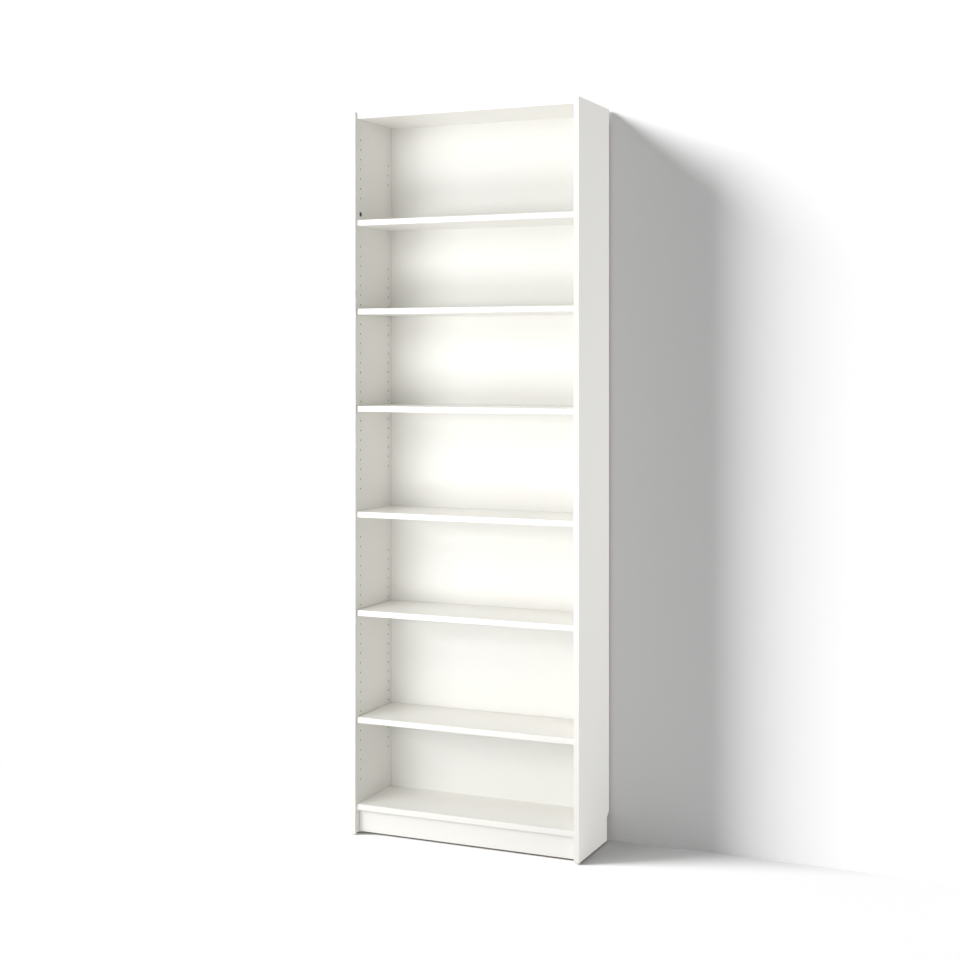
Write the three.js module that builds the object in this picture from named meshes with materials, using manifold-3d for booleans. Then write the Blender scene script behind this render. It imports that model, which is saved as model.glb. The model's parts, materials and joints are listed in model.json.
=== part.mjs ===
// A tall white bookcase in foil-covered board, with a height extension standing on the main unit.
// Millimetres, +Z up. The origin is on the floor in the middle of the footprint.
// +X points to the right side, and the open front faces -Y.
import * as THREE from 'three';
import { mergeVertices } from 'three/addons/utils/BufferGeometryUtils.js';
import Module from 'manifold-3d';

const wasm = await Module();
wasm.setup();

// Overall sizes and boards
const overallWidth = 800;
const overallDepth = 280;
const lowerHeight = 2020;
const upperHeight = 350;
const sideThickness = 18;
const boardThickness = 19;
const boardSetback = 10;
const edgeEase = 1;
const fitGap = 0.25;
const overrun = 2;

// Heights of the undersides of the fixed boards, and how far each top board lies below its sides' tops
const bottomBoardHeight = 76;
const fixedShelfHeight = 1038;
const lowerTopDrop = 3;
const upperTopDrop = 1;

// Hardboard backs in grooves, folded flat for packing along scored lines
const backThickness = 3;
const backInset = 17;
const grooveDepth = 6;
const foldWidth = 1.5;
const foldDepth = 1.2;
const backLeaves = 3;

// Skirting notch at the foot of the sides, their glides, and the plinth. Heights are taken from that foot.
const notchDepth = 20.5;
const notchHeight = 75;
const notchRise = 17;
const glideHeight = 6;
const glideDiameter = 14;
const glideInset = 30;
const plinthSetback = 30;
const plinthThickness = 16;
const plinthLift = 1;
const pegDiameter = 8;
const pegLength = 12;

// Rows of holes for the shelf pins
const rowPitch = 32;
const firstRowHeight = 171;
const rowMargin = 60;
const rearRowsSkipped = 2;
const frontRowInset = 37;
const rearRowInset = 43;
const pinDiameter = 4.5;
const pinDepth = 10;
const pinHoleDepth = 11;
const pinReach = 11;
const pinShoulder = 1.5;
const pinChamfer = 0.5;
const pinFlatDrop = 1;

// Loose shelves, each on the row of pins nearest to a share of its bay's height
const shelfEndGap = 2;
const shelfBackGap = 2;
const lowerBayShares = [0.284, 0.657];
const upperBayShares = [0.351, 0.691];

// Cam lock, its bolt, and the dowel at the other end of the same joint
const camDiameter = 15;
const camReach = 18;
const camFloor = 4;
const camCoreRadius = 2.7;
const camLockedRadius = 6.4;
const camOpenRadius = 6.9;
const camDriverWidth = 1.4;
const camDriverLength = 8;
const camDriverDepth = 2.5;
const camTurn = THREE.MathUtils.degToRad(150);
const camHeadAngle = THREE.MathUtils.degToRad(56);
const camNeckAngle = THREE.MathUtils.degToRad(26);
const boltThreadRadius = 2.6;
const boltThreadLength = 11;
const boltShaftRadius = 3.2;
const boltNeckRadius = 2;
const boltHeadRadius = 3.4;
const boltHeadLength = 2;
const boltHeadReach = 5;
const boltShaftGap = 0.5;
const dowelDiameter = 8;
const dowelInSide = 12;
const dowelInBoard = 18;
const dowelChamfer = 1;

// Facets of the round forms
const pinHoleSides = 6;
const holeSides = 8;
const boreSides = 16;
const turnedSides = 8;
const glideSides = 10;
const easeSteps = 2;
const camRimSteps = 9;
const camCoreSteps = 5;

// Places that several pieces share
const halfWidth = overallWidth / 2;
const innerHalf = halfWidth - sideThickness;
const frontEdge = -overallDepth / 2;
const rearEdge = overallDepth / 2;
const boardFront = frontEdge + boardSetback;
const backFace = rearEdge - backInset - backThickness;
const boardRear = backFace - fitGap;
const frontRowY = frontEdge + frontRowInset;
const rearRowY = rearEdge - rearRowInset;
const camY = frontRowY + rowPitch;
const dowelY = rearRowY - rowPitch;
const upperFoot = lowerHeight + fitGap;
const totalHeight = lowerHeight + upperHeight;
const lowerTopHeight = lowerHeight - lowerTopDrop - boardThickness;
const upperTopHeight = totalHeight - upperTopDrop - boardThickness;
const shelfRear = backFace - shelfBackGap;

const axisX = new THREE.Vector3(1, 0, 0);
const axisY = new THREE.Vector3(0, 1, 0);
const axisZ = new THREE.Vector3(0, 0, 1);
const lengthwise = new THREE.Matrix4().makeBasis(axisY, axisZ, axisX);

const boardFinish = new THREE.MeshStandardMaterial({ color: 0xf1f0ec, roughness: 0.42, metalness: 0 });
const backFinish = new THREE.MeshStandardMaterial({ color: 0xedece6, roughness: 0.55, metalness: 0 });
const zincFinish = new THREE.MeshStandardMaterial({ color: 0xa3a4a3, roughness: 0.45, metalness: 0.9 });
const steelFinish = new THREE.MeshStandardMaterial({ color: 0xb9babb, roughness: 0.3, metalness: 1 });
const beechFinish = new THREE.MeshStandardMaterial({ color: 0xcaa777, roughness: 0.7, metalness: 0 });

// A closed geometry with its shared vertices merged and no collapsed triangles
function welded(geometry) {
  const bare = geometry.clone();
  bare.deleteAttribute('normal');
  bare.deleteAttribute('uv');
  const merged = mergeVertices(bare);
  const corners = Array.from(merged.index.array);
  const kept = [];
  for (let i = 0; i < corners.length; i += 3) {
    const [a, b, c] = corners.slice(i, i + 3);
    if (a !== b && b !== c && c !== a) kept.push(a, b, c);
  }
  merged.setIndex(kept);
  return merged;
}

function toSolid(geometry) {
  const whole = welded(geometry);
  const vertProperties = new Float32Array(whole.attributes.position.array);
  const triVerts = new Uint32Array(whole.index.array);
  return new wasm.Manifold(new wasm.Mesh({ numProp: 3, vertProperties, triVerts }));
}

function toGeometry(solid) {
  const mesh = solid.getMesh();
  const geometry = new THREE.BufferGeometry();
  geometry.setAttribute('position', new THREE.BufferAttribute(mesh.vertProperties, 3));
  geometry.setIndex(new THREE.BufferAttribute(mesh.triVerts, 1));
  return geometry;
}

function carved(blank, tools) {
  const cuts = tools.map(toSolid).reduce((all, tool) => all.add(tool));
  return toGeometry(toSolid(blank).subtract(cuts));
}

// The same piece for the other hand: mirrored in X, with its triangles turned to face out again
function mirrored(geometry) {
  const twin = geometry.clone().scale(-1, 1, 1);
  const corners = Array.from(twin.index.array);
  for (let i = 0; i < corners.length; i += 3) {
    [corners[i], corners[i + 1]] = [corners[i + 1], corners[i]];
  }
  twin.setIndex(corners);
  return twin;
}

// A hole's flats stand a fit gap clear of a round piece of the given radius
function clearRadius(radius, sides) {
  return (radius + fitGap) / Math.cos(Math.PI / sides);
}

// A prism with flats up and down, along +X from the origin
function rodX(radius, length, sides) {
  const rod = new THREE.CylinderGeometry(radius, radius, length, sides);
  rod.rotateY(Math.PI / sides);
  rod.rotateZ(-Math.PI / 2);
  return rod.translate(length / 2, 0, 0);
}

function rodZ(radius, length, sides) {
  return rodX(radius, length, sides).rotateY(-Math.PI / 2);
}

// A blind hole into the inner face of a right-hand side, whose material lies at x > 0
function faceHole(pieceRadius, depth, sides, y, z) {
  const tool = rodX(clearRadius(pieceRadius, sides), depth + overrun, sides);
  return tool.translate(-overrun, y, z);
}

// A round solid turned from [along, radius] pairs, with its axis along +X
function turned(profile) {
  const points = profile.map(([along, radius]) => new THREE.Vector2(radius, along));
  const lathe = new THREE.LatheGeometry(points, turnedSides);
  return lathe.rotateY(Math.PI / turnedSides).rotateZ(-Math.PI / 2);
}

// Heights of the pin rows that keep clear of the fixed boards below and above
function rowsBetween(floor, ceiling, skipped) {
  const lowest = floor + rowMargin + skipped * rowPitch;
  const highest = ceiling - rowMargin - skipped * rowPitch;
  const first = Math.ceil((lowest - firstRowHeight) / rowPitch);
  const last = Math.floor((highest - firstRowHeight) / rowPitch);
  const heights = [];
  for (let row = first; row <= last; row += 1) heights.push(firstRowHeight + row * rowPitch);
  return heights;
}

const lowerBay = [bottomBoardHeight + boardThickness, fixedShelfHeight];
const upperBay = [fixedShelfHeight + boardThickness, lowerTopHeight];
const extensionBay = [lowerTopHeight + boardThickness, upperTopHeight];

function pinHoles(bays, foot) {
  const holes = [];
  for (const [floor, ceiling] of bays) {
    for (const z of rowsBetween(floor, ceiling, 0)) {
      holes.push(faceHole(pinDiameter / 2, pinHoleDepth, pinHoleSides, frontRowY, z - foot));
    }
    for (const z of rowsBetween(floor, ceiling, rearRowsSkipped)) {
      holes.push(faceHole(pinDiameter / 2, pinHoleDepth, pinHoleSides, rearRowY, z - foot));
    }
  }
  return holes;
}

// Holes in a side for one fixed board: the cam bolt's in front and the dowel's behind
function boardHoles(middle) {
  return [
    faceHole(boltThreadRadius, boltThreadLength + fitGap, holeSides, camY, middle),
    faceHole(dowelDiameter / 2, dowelInSide + fitGap, holeSides, dowelY, middle),
  ];
}

// A right-hand side: plan outline with eased front edges and the back's groove, pulled up to its height
function sideBlank(height) {
  const plan = new THREE.Shape();
  const grooveFront = backFace - fitGap;
  const grooveRear = backFace + backThickness + fitGap;
  plan.moveTo(0, rearEdge);
  plan.lineTo(0, grooveRear);
  plan.lineTo(grooveDepth, grooveRear);
  plan.lineTo(grooveDepth, grooveFront);
  plan.lineTo(0, grooveFront);
  plan.lineTo(0, frontEdge + edgeEase);
  plan.absarc(edgeEase, frontEdge + edgeEase, edgeEase, Math.PI, Math.PI * 1.5, false);
  plan.lineTo(sideThickness - edgeEase, frontEdge);
  plan.absarc(sideThickness - edgeEase, frontEdge + edgeEase, edgeEase, -Math.PI / 2, 0, false);
  plan.lineTo(sideThickness, rearEdge);
  plan.closePath();
  return new THREE.ExtrudeGeometry(plan, { depth: height, bevelEnabled: false, curveSegments: easeSteps });
}

// The notch that lets the side stand over a skirting board, sloping out at its top
function skirtingNotch() {
  const outline = new THREE.Shape();
  outline.moveTo(rearEdge - notchDepth, -overrun);
  outline.lineTo(rearEdge + overrun, -overrun);
  outline.lineTo(rearEdge + overrun, notchHeight + notchRise * (1 + overrun / notchDepth));
  outline.lineTo(rearEdge - notchDepth, notchHeight);
  outline.closePath();
  const depth = sideThickness + 2 * overrun;
  const notch = new THREE.ExtrudeGeometry(outline, { depth, bevelEnabled: false });
  return notch.applyMatrix4(lengthwise).translate(-overrun, 0, 0);
}

function lowerSide() {
  const middles = [bottomBoardHeight, fixedShelfHeight, lowerTopHeight].map((z) => z + boardThickness / 2);
  const edgeMiddle = sideThickness / 2;
  const boltHole = rodZ(clearRadius(boltThreadRadius, holeSides), boltThreadLength + overrun, holeSides);
  const pegHole = rodZ(clearRadius(pegDiameter / 2, holeSides), pegLength + overrun, holeSides);
  const carvedSide = carved(sideBlank(lowerHeight), [
    skirtingNotch(),
    ...pinHoles([lowerBay, upperBay], 0),
    ...middles.flatMap(boardHoles),
    faceHole(pegDiameter / 2, pegLength + fitGap, holeSides, plinthMiddleY(), plinthMiddleHeight()),
    boltHole.translate(edgeMiddle, frontRowY, lowerHeight - boltThreadLength - fitGap),
    pegHole.translate(edgeMiddle, rearRowY, lowerHeight - pegLength),
  ]);
  const glides = [frontEdge + glideInset, rearEdge - notchDepth - glideInset].map((y) => {
    const glide = rodZ(glideDiameter / 2, glideHeight + overrun, glideSides);
    return toSolid(glide.translate(edgeMiddle, y, -glideHeight));
  });
  return toGeometry(glides.reduce((whole, glide) => whole.add(glide), toSolid(carvedSide)));
}

// The extension's side stands on the lower side: a cam lock in front, a glued-in dowel behind
function upperSide() {
  const edgeMiddle = sideThickness / 2;
  const camHeight = camReach - fitGap;
  const bore = rodX(camBoreRadius(), camBoreDepth(sideThickness) + overrun, boreSides);
  const boltWay = rodZ(clearRadius(boltHeadRadius, holeSides), camHeight + overrun, holeSides);
  const top = upperTopHeight - upperFoot;
  const carvedSide = carved(sideBlank(upperHeight - fitGap), [
    bore.translate(-overrun, frontRowY, camHeight),
    boltWay.translate(edgeMiddle, frontRowY, -overrun),
    ...pinHoles([extensionBay], upperFoot),
    ...boardHoles(top + boardThickness / 2),
  ]);
  const peg = rodZ(pegDiameter / 2, pegLength + overrun, turnedSides);
  peg.translate(edgeMiddle, rearRowY, -pegLength);
  return toGeometry(toSolid(carvedSide).add(toSolid(peg)));
}

// A level board: its end outline with eased front edges, pulled out to its length
function boardBlank(length, rear, thickness) {
  const end = new THREE.Shape();
  end.moveTo(rear, 0);
  end.lineTo(rear, thickness);
  end.lineTo(boardFront + edgeEase, thickness);
  end.absarc(boardFront + edgeEase, thickness - edgeEase, edgeEase, Math.PI / 2, Math.PI, false);
  end.lineTo(boardFront, edgeEase);
  end.absarc(boardFront + edgeEase, edgeEase, edgeEase, Math.PI, Math.PI * 1.5, false);
  end.closePath();
  const settings = { depth: length, bevelEnabled: false, curveSegments: easeSteps };
  return new THREE.ExtrudeGeometry(end, settings).applyMatrix4(lengthwise).translate(-length / 2, 0, 0);
}

// A board between the sides, bored at both ends for its cam locks and dowels.
// The cams' bores open on the face that is out of sight: 'under' or 'over'.
function fixedBoard(camFace) {
  const half = innerHalf - fitGap;
  const middle = boardThickness / 2;
  const boreDepth = camBoreDepth(boardThickness);
  const boreZ = camFace === 'under' ? -overrun : boardThickness - boreDepth;
  const tools = [];
  for (const hand of [-1, 1]) {
    const bore = rodZ(camBoreRadius(), boreDepth + overrun, boreSides);
    const boltWay = rodX(clearRadius(boltHeadRadius, holeSides), camReach + overrun, holeSides);
    const dowelWay = rodX(clearRadius(dowelDiameter / 2, holeSides), dowelInBoard + overrun, holeSides);
    const fromEnd = (tool, inward) => (hand > 0 ? tool.translate(half - inward, 0, 0)
      : tool.rotateZ(Math.PI).translate(inward - half, 0, 0));
    tools.push(bore.translate(hand * (innerHalf - camReach), camY, boreZ));
    tools.push(fromEnd(boltWay, camReach).translate(0, camY, middle));
    tools.push(fromEnd(dowelWay, dowelInBoard).translate(0, dowelY, middle));
  }
  return carved(boardBlank(2 * half, boardRear, boardThickness), tools);
}

function looseShelf() {
  return welded(boardBlank(2 * (innerHalf - shelfEndGap), shelfRear, boardThickness));
}

function plinthMiddleY() {
  return frontEdge + plinthSetback + plinthThickness / 2;
}

function plinthTop() {
  return bottomBoardHeight - fitGap;
}

function plinthMiddleHeight() {
  return (plinthLift + plinthTop()) / 2;
}

// The plinth stands on edge under the bottom board, on a dowel glued into each of its ends
function plinth() {
  const length = 2 * (innerHalf - fitGap);
  const height = plinthTop() - plinthLift;
  const slab = new THREE.BoxGeometry(length, plinthThickness, height);
  const pegSpan = length + 2 * pegLength;
  const pegs = rodX(pegDiameter / 2, pegSpan, turnedSides).translate(-pegSpan / 2, 0, 0);
  return toGeometry(toSolid(slab).add(toSolid(pegs)));
}

// A hardboard back, scored on its rear face into leaves that fold for packing
function backPanel(height) {
  const half = innerHalf + grooveDepth - fitGap;
  const plan = new THREE.Shape();
  plan.moveTo(-half, 0);
  plan.lineTo(half, 0);
  plan.lineTo(half, backThickness);
  for (let fold = backLeaves - 1; fold > 0; fold -= 1) {
    const x = half * (2 * fold / backLeaves - 1);
    plan.lineTo(x + foldWidth / 2, backThickness);
    plan.lineTo(x, backThickness - foldDepth);
    plan.lineTo(x - foldWidth / 2, backThickness);
  }
  plan.lineTo(-half, backThickness);
  plan.closePath();
  return welded(new THREE.ExtrudeGeometry(plan, { depth: height, bevelEnabled: false }));
}

// A steel shelf pin along +X: a round stem for the side's hole, and a tongue with a flat for the shelf
function shelfPin() {
  const radius = pinDiameter / 2;
  const bar = turned([
    [-pinDepth, 0],
    [-pinDepth, radius - pinChamfer],
    [pinChamfer - pinDepth, radius],
    [pinReach - pinChamfer, radius],
    [pinReach, radius - pinChamfer],
    [pinReach, 0],
  ]);
  const flat = new THREE.BoxGeometry(pinReach + overrun, pinDiameter + overrun, pinDiameter);
  const flatHeight = -pinFlatDrop - fitGap;
  flat.translate(pinShoulder + (pinReach + overrun) / 2, 0, flatHeight + pinDiameter / 2);
  return carved(bar, [flat]);
}

function camBoreDepth(thickness) {
  return thickness - camFloor;
}

function camBoreRadius() {
  return clearRadius(camDiameter / 2, boreSides);
}

// A ring sector pulled up to a height, about the Z axis. Its outer radius follows the angle.
function sector(innerRadius, outerRadiusAt, from, to, height) {
  const corners = [];
  const addCorner = (radius, angle) => {
    corners.push(new THREE.Vector2(radius * Math.cos(angle), radius * Math.sin(angle)));
  };
  for (let step = 0; step <= camRimSteps; step += 1) {
    const angle = from + (to - from) * step / camRimSteps;
    addCorner(outerRadiusAt(angle), angle);
  }
  for (let step = camCoreSteps; step >= 0; step -= 1) {
    addCorner(innerRadius, from + (to - from) * step / camCoreSteps);
  }
  const pulled = new THREE.ExtrudeGeometry(new THREE.Shape(corners), { depth: height, bevelEnabled: false });
  return pulled.translate(0, 0, -height / 2);
}

// A cam lock seen in the panel's own terms: +Z out of the panel's face, +X towards its bolt.
// The channel behind the rim winds in from the entry to the locked end, and draws the bolt's head after it.
function camLock(thickness) {
  const radius = camDiameter / 2;
  const height = camBoreDepth(thickness) - 2 * fitGap;
  const body = new THREE.CylinderGeometry(radius, radius, height, boreSides);
  body.rotateX(Math.PI / 2).translate(0, 0, -fitGap - height / 2);
  const windIn = (angle) => {
    const share = THREE.MathUtils.clamp(angle / camTurn, 0, 1);
    return THREE.MathUtils.lerp(camLockedRadius, camOpenRadius, share);
  };
  const headSpace = 2 * (boltHeadRadius + fitGap);
  const neckSpace = 2 * (boltNeckRadius + fitGap);
  const boltLine = -thickness / 2;
  const pastRim = () => radius + overrun;
  const channel = sector(camCoreRadius, windIn, -camHeadAngle, camTurn + camHeadAngle, headSpace);
  const slot = sector(camCoreRadius, pastRim, -camNeckAngle, camTurn + camNeckAngle, neckSpace);
  const entry = rodX(clearRadius(boltHeadRadius, holeSides), radius + overrun - camCoreRadius, holeSides);
  entry.translate(camCoreRadius, 0, 0).rotateZ(camTurn);
  const recess = [0, Math.PI / 2].map((angle) => {
    const blade = new THREE.BoxGeometry(camDriverLength, camDriverWidth, camDriverDepth + overrun);
    return blade.rotateZ(angle + Math.PI / 4).translate(0, 0, (overrun - camDriverDepth) / 2 - fitGap);
  });
  return carved(body, [...[channel, slot, entry].map((tool) => tool.translate(0, 0, boltLine)), ...recess]);
}

// The bolt that a cam grips: threaded into one panel at x < 0, with its head out along +X
function camBolt() {
  const shoulder = camReach - boltHeadReach;
  const shaftEnd = camReach - camDiameter / 2 - boltShaftGap;
  return welded(turned([
    [-boltThreadLength, 0],
    [boltThreadRadius - boltThreadLength, boltThreadRadius],
    [0, boltThreadRadius],
    [0, boltShaftRadius],
    [shaftEnd, boltShaftRadius],
    [shaftEnd, boltNeckRadius],
    [shoulder, boltNeckRadius],
    [shoulder, boltHeadRadius],
    [shoulder + boltHeadLength, boltHeadRadius],
    [shoulder + boltHeadLength, 0],
  ]));
}

function dowel() {
  const radius = dowelDiameter / 2;
  const inBoard = dowelInBoard - fitGap;
  return welded(turned([
    [-dowelInSide, 0],
    [-dowelInSide, radius - dowelChamfer],
    [dowelChamfer - dowelInSide, radius],
    [inBoard - dowelChamfer, radius],
    [inBoard, radius - dowelChamfer],
    [inBoard, 0],
  ]));
}

// A named mesh, placed in its group, and turned so that its own X and Z axes point as given
function place(group, name, geometry, material, position, alongX = axisX, alongZ = axisZ) {
  const mesh = new THREE.Mesh(geometry, material);
  const alongY = new THREE.Vector3().crossVectors(alongZ, alongX);
  mesh.name = name;
  mesh.position.set(...position);
  mesh.setRotationFromMatrix(new THREE.Matrix4().makeBasis(alongX, alongY, alongZ));
  group.add(mesh);
}

const hands = [['left', -1], ['right', 1]];
const outX = (hand) => new THREE.Vector3(hand, 0, 0);
const down = new THREE.Vector3(0, 0, -1);
const pinGeometry = shelfPin();
const boltGeometry = camBolt();
const dowelGeometry = dowel();
const boardCamGeometry = camLock(boardThickness);
const sideCamGeometry = camLock(sideThickness);
const shelfGeometry = looseShelf();

// A fixed board and the cam lock, bolt and dowel at each of its ends
function placeFixedBoard(group, name, level, camFace) {
  const faceOut = camFace === 'under' ? down : axisZ;
  const faceHeight = camFace === 'under' ? level : level + boardThickness;
  const middle = level + boardThickness / 2;
  place(group, name, fixedBoard(camFace), boardFinish, [0, 0, level]);
  for (const [side, hand] of hands) {
    const camAt = [hand * (innerHalf - camReach), camY, faceHeight];
    const boltAt = [hand * innerHalf, camY, middle];
    const dowelAt = [hand * innerHalf, dowelY, middle];
    place(group, `${name}_cam_${side}`, boardCamGeometry, zincFinish, camAt, outX(hand), faceOut);
    place(group, `${name}_bolt_${side}`, boltGeometry, steelFinish, boltAt, outX(-hand));
    place(group, `${name}_dowel_${side}`, dowelGeometry, beechFinish, dowelAt, outX(-hand));
  }
}

// A loose shelf on its four pins
function placeShelf(group, name, row) {
  place(group, name, shelfGeometry, boardFinish, [0, 0, row - pinFlatDrop]);
  for (const [side, hand] of hands) {
    for (const [end, y] of [['front', frontRowY], ['rear', rearRowY]]) {
      const pinAt = [hand * innerHalf, y, row];
      place(group, `${name}_pin_${end}_${side}`, pinGeometry, steelFinish, pinAt, outX(-hand));
    }
  }
}

function placeSides(group, name, rightSide) {
  place(group, `${name}_left_side`, mirrored(rightSide), boardFinish, [-innerHalf, 0, 0]);
  place(group, `${name}_right_side`, rightSide, boardFinish, [innerHalf, 0, 0]);
}

// The pin row nearest to a share of a bay's height, among the rows that have holes front and rear
function rowNear([floor, ceiling], share) {
  const wanted = floor + share * (ceiling - floor);
  const rows = rowsBetween(floor, ceiling, rearRowsSkipped);
  return rows.reduce((best, row) => (Math.abs(row - wanted) < Math.abs(best - wanted) ? row : best));
}

const lowerUnit = new THREE.Group();
placeSides(lowerUnit, 'lower', lowerSide());
placeFixedBoard(lowerUnit, 'bottom_board', bottomBoardHeight, 'under');
placeFixedBoard(lowerUnit, 'fixed_shelf', fixedShelfHeight, 'under');
placeFixedBoard(lowerUnit, 'lower_top_board', lowerTopHeight, 'over');
place(lowerUnit, 'plinth', plinth(), boardFinish, [0, plinthMiddleY(), plinthMiddleHeight()]);
const lowerBack = backPanel(lowerHeight - fitGap - bottomBoardHeight);
place(lowerUnit, 'lower_back_panel', lowerBack, backFinish, [0, backFace, bottomBoardHeight]);
const shelfRows = [
  ...lowerBayShares.map((share) => rowNear(lowerBay, share)),
  ...upperBayShares.map((share) => rowNear(upperBay, share)),
];
shelfRows.forEach((row, index) => placeShelf(lowerUnit, `shelf_${index + 1}`, row));

const upperUnit = new THREE.Group();
upperUnit.position.z = upperFoot;
placeSides(upperUnit, 'upper', upperSide());
placeFixedBoard(upperUnit, 'upper_top_board', upperTopHeight - upperFoot, 'over');
const upperBack = backPanel(totalHeight - upperTopDrop - upperFoot);
place(upperUnit, 'upper_back_panel', upperBack, backFinish, [0, backFace, 0]);

// The two cam locks that hold the extension down on bolts in the lower sides' top edges
for (const [side, hand] of hands) {
  const camAt = [hand * innerHalf, frontRowY, camReach - fitGap];
  const boltAt = [hand * (innerHalf + sideThickness / 2), frontRowY, lowerHeight];
  place(upperUnit, `extension_cam_${side}`, sideCamGeometry, zincFinish, camAt, down, outX(-hand));
  place(lowerUnit, `extension_bolt_${side}`, boltGeometry, steelFinish, boltAt, axisZ, outX(-hand));
}

const bookcase = new THREE.Group();
bookcase.position.z = glideHeight;
bookcase.add(lowerUnit, upperUnit);

export default bookcase;
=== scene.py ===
import json
import math
import bmesh
import bpy
from mathutils import Matrix, Vector


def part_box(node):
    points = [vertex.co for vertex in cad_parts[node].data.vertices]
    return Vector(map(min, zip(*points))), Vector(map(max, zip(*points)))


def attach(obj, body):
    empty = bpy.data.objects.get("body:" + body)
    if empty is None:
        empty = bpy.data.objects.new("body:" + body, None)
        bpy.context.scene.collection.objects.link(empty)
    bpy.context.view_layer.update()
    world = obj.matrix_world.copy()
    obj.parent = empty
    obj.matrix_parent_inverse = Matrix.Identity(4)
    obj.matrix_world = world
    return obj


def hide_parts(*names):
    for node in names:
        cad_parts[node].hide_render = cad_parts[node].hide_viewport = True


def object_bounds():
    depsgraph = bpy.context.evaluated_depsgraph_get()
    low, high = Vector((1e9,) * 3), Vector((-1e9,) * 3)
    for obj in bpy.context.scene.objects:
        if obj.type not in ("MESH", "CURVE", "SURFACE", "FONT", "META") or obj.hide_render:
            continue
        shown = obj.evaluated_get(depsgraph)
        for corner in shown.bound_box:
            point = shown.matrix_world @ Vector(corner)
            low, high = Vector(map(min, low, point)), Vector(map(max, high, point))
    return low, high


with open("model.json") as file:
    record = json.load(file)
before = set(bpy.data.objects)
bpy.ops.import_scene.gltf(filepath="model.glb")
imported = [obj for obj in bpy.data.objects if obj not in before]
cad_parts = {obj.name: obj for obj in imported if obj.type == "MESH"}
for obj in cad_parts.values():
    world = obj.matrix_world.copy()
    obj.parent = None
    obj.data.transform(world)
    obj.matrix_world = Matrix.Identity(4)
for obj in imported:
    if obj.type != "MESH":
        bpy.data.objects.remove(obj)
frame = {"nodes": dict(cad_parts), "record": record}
cadLow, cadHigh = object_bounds()
bodies = frame["record"]["behaviour"]["bodies"]
bodyOfNode = {node: body for body, nodes in bodies.items() for node in nodes}
mm = 0.001


# Camera, at the photograph's viewpoint: level, with the horizon raised by a vertical shift
camera = {
    "place": (2.110, -4.782, 1.550),
    "turnLeft": math.radians(23.77),
    "lens": 59.94,
    "sensor": 36,
    "frameSide": 960,
    "horizonRow": 363.7,
}


def placeCamera():
    lens = bpy.data.cameras.new("camera")
    lens.lens = camera["lens"]
    lens.sensor_width = camera["sensor"]
    lens.shift_y = camera["horizonRow"] / camera["frameSide"] - 0.5
    rig = bpy.data.objects.new("camera", lens)
    rig.location = camera["place"]
    rig.rotation_euler = (math.pi / 2, 0, camera["turnLeft"])
    bpy.context.collection.objects.link(rig)
    bpy.context.scene.camera = rig


placeCamera()
print("camera placed")


# Materials. A wire is a value in a material's nodes, so that shader maths reads as plain sums.
class Wire:
    def __init__(self, finish, socket):
        self.finish = finish
        self.socket = socket

    def maths(self, operation, first, second):
        return self.finish.add("ShaderNodeMath", {"operation": operation}, {0: first, 1: second})

    def __add__(self, other):
        return self.maths("ADD", self, other)

    def __radd__(self, other):
        return self.maths("ADD", other, self)

    def __sub__(self, other):
        return self.maths("SUBTRACT", self, other)

    def __rsub__(self, other):
        return self.maths("SUBTRACT", other, self)

    def __mul__(self, other):
        return self.maths("MULTIPLY", self, other)

    def __rmul__(self, other):
        return self.maths("MULTIPLY", other, self)


def setStops(ramp, stops):
    while len(ramp.elements) < len(stops):
        ramp.elements.new(1)
    for element, (position, colour) in zip(ramp.elements, stops):
        element.position = position
        element.color = (*colour, 1)


class Finish:  # the nodes of one material, or of the world
    def __init__(self, owner):
        self.owner = owner
        owner.use_nodes = True
        self.tree = owner.node_tree
        self.tree.nodes.clear()

    def add(self, kind, settings=None, inputs=None, output=0):
        node = self.tree.nodes.new(kind)
        for name, value in (settings or {}).items():
            if name == "stops":
                setStops(node.color_ramp, value)
            else:
                setattr(node, name, value)
        for key, value in (inputs or {}).items():
            if isinstance(value, Wire):
                self.tree.links.new(value.socket, node.inputs[key])
            else:
                node.inputs[key].default_value = value
        return Wire(self, node.outputs[output]) if node.outputs else None

    def place(self):
        return self.add("ShaderNodeTexCoord", output="Object")

    def stretched(self, scale):
        return self.add("ShaderNodeMapping", {}, {"Vector": self.place(), "Scale": scale})

    def noise(self, where, settings):
        inputs = {"Vector": where, "Scale": 1, "Detail": 2, "Distortion": 0, **settings}
        return self.add("ShaderNodeTexNoise", {}, inputs, "Fac")

    def toned(self, share, look):  # from a look's dark tone to its light one
        stops = list(zip(look["endShares"], (look["dark"], look["light"])))
        return self.add("ShaderNodeValToRGB", {"stops": stops}, {"Fac": share}, "Color")

    def mixed(self, share, first, second):  # a mix's colours are its inputs 6 and 7 and its output 2
        inputs = {"Factor": share, 6: (*first, 1), 7: (*second, 1)}
        return self.add("ShaderNodeMix", {"data_type": "RGBA"}, inputs, 2)

    def spotted(self, where, softness):  # soft-edged spots of many tones, one to a unit of length
        inputs = {"Vector": where, "Scale": 1, "Smoothness": softness}
        return self.add("ShaderNodeTexVoronoi", {"feature": "SMOOTH_F1"}, inputs, "Color")

    def coat(self, colour, roughness, height, depth, fixed=None):
        bump = self.add("ShaderNodeBump", {}, {"Distance": depth, "Height": height}, "Normal")
        inputs = {"Base Color": colour, "Roughness": roughness, "Normal": bump}
        inputs.update(fixed or {})
        self.show(self.add("ShaderNodeBsdfPrincipled", {}, inputs))
        return self.owner

    def show(self, shader):
        isWorld = isinstance(self.owner, bpy.types.World)
        kind = "ShaderNodeOutputWorld" if isWorld else "ShaderNodeOutputMaterial"
        self.add(kind, {}, {"Surface": shader})


def newFinish(name):
    return Finish(bpy.data.materials.new(name))


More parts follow.
